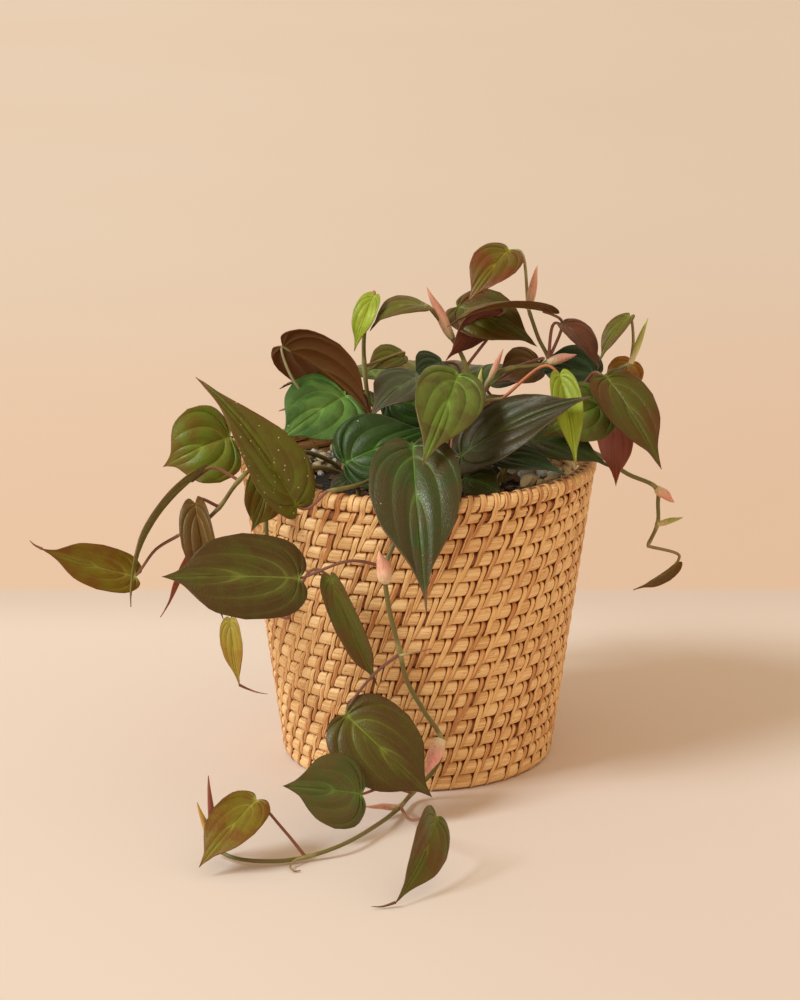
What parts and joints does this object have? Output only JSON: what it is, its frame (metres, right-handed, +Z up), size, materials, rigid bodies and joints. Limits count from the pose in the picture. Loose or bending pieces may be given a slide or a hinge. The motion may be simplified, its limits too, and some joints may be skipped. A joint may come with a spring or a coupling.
{
  "type": "potted velvet leaf philodendron",
  "caption": "Trailing velvet leaf philodendron with heart-shaped leaves, rooted in a soil-filled nursery pot that stands in a tapered coiled rattan basket.",
  "frame": {"origin": "the middle of the basket's underside, on the surface it stands on", "axes": "+Z up, -Y towards the front from which it was pictured, +X to the right of that view"},
  "size_m": [0.3173, 0.3406, 0.2622],
  "materials": {
    "rattan": "satin",
    "pot_plastic": "matte",
    "soil": "matte",
    "pumice": "matte",
    "leaf": "satin"
  },
  "bodies": {
    "root": {"basket": "rattan", "gravel": "pumice", "nursery_pot": "pot_plastic", "potting_soil": "soil", "vine_back_1": "leaf", "vine_back_2": "leaf", "vine_back_3": "leaf", "vine_back_4": "leaf", "vine_back_5": "leaf", "vine_centre": "leaf", "vine_centre_right": "leaf", "vine_front": "leaf", "vine_left": "leaf", "vine_left_front": "leaf", "vine_low_right": "leaf", "vine_mid_left": "leaf", "vine_right": "leaf", "vine_right_top": "leaf", "vine_rim_left": "leaf", "vine_top": "leaf", "vine_top_left": "leaf"}
  },
  "joints": []
}
